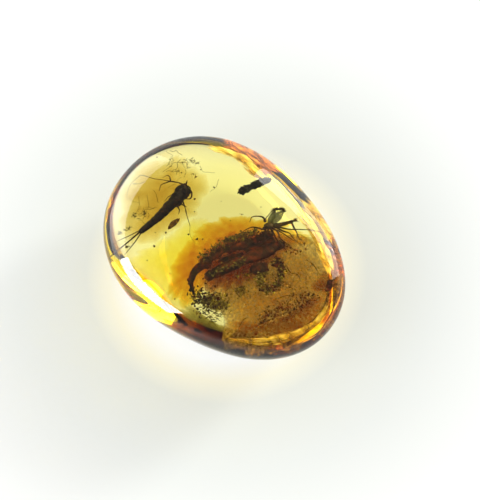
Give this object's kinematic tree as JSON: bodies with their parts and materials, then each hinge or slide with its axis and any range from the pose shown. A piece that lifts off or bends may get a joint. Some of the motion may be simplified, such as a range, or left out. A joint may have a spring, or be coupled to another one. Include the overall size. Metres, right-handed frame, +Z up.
{
  "type": "insect in amber",
  "caption": "Polished egg-shaped pebble of clear golden amber with fossil insects and plant debris sealed inside, lying on a small flat underside.",
  "frame": {"origin": "under the middle of the pebble's outline, in the plane of the flat underside that it lies on", "axes": "+X towards the slimmer end, +Y towards the ridged flank, +Z up through the dome"},
  "size_m": [0.0282, 0.0218, 0.0096],
  "materials": {
    "amber": "hand-polished fossil resin, clear lemon to honey, glossy",
    "cuticle": "dark brown carbonised insect cuticle",
    "wing": "thin smoky wing membrane",
    "debris": "decayed bark and plant crumbs, dark red-brown",
    "flow": "cloudy caramel resin flow with fine grains"
  },
  "bodies": {
    "root": {"amber": "amber"}
  },
  "joints": []
}
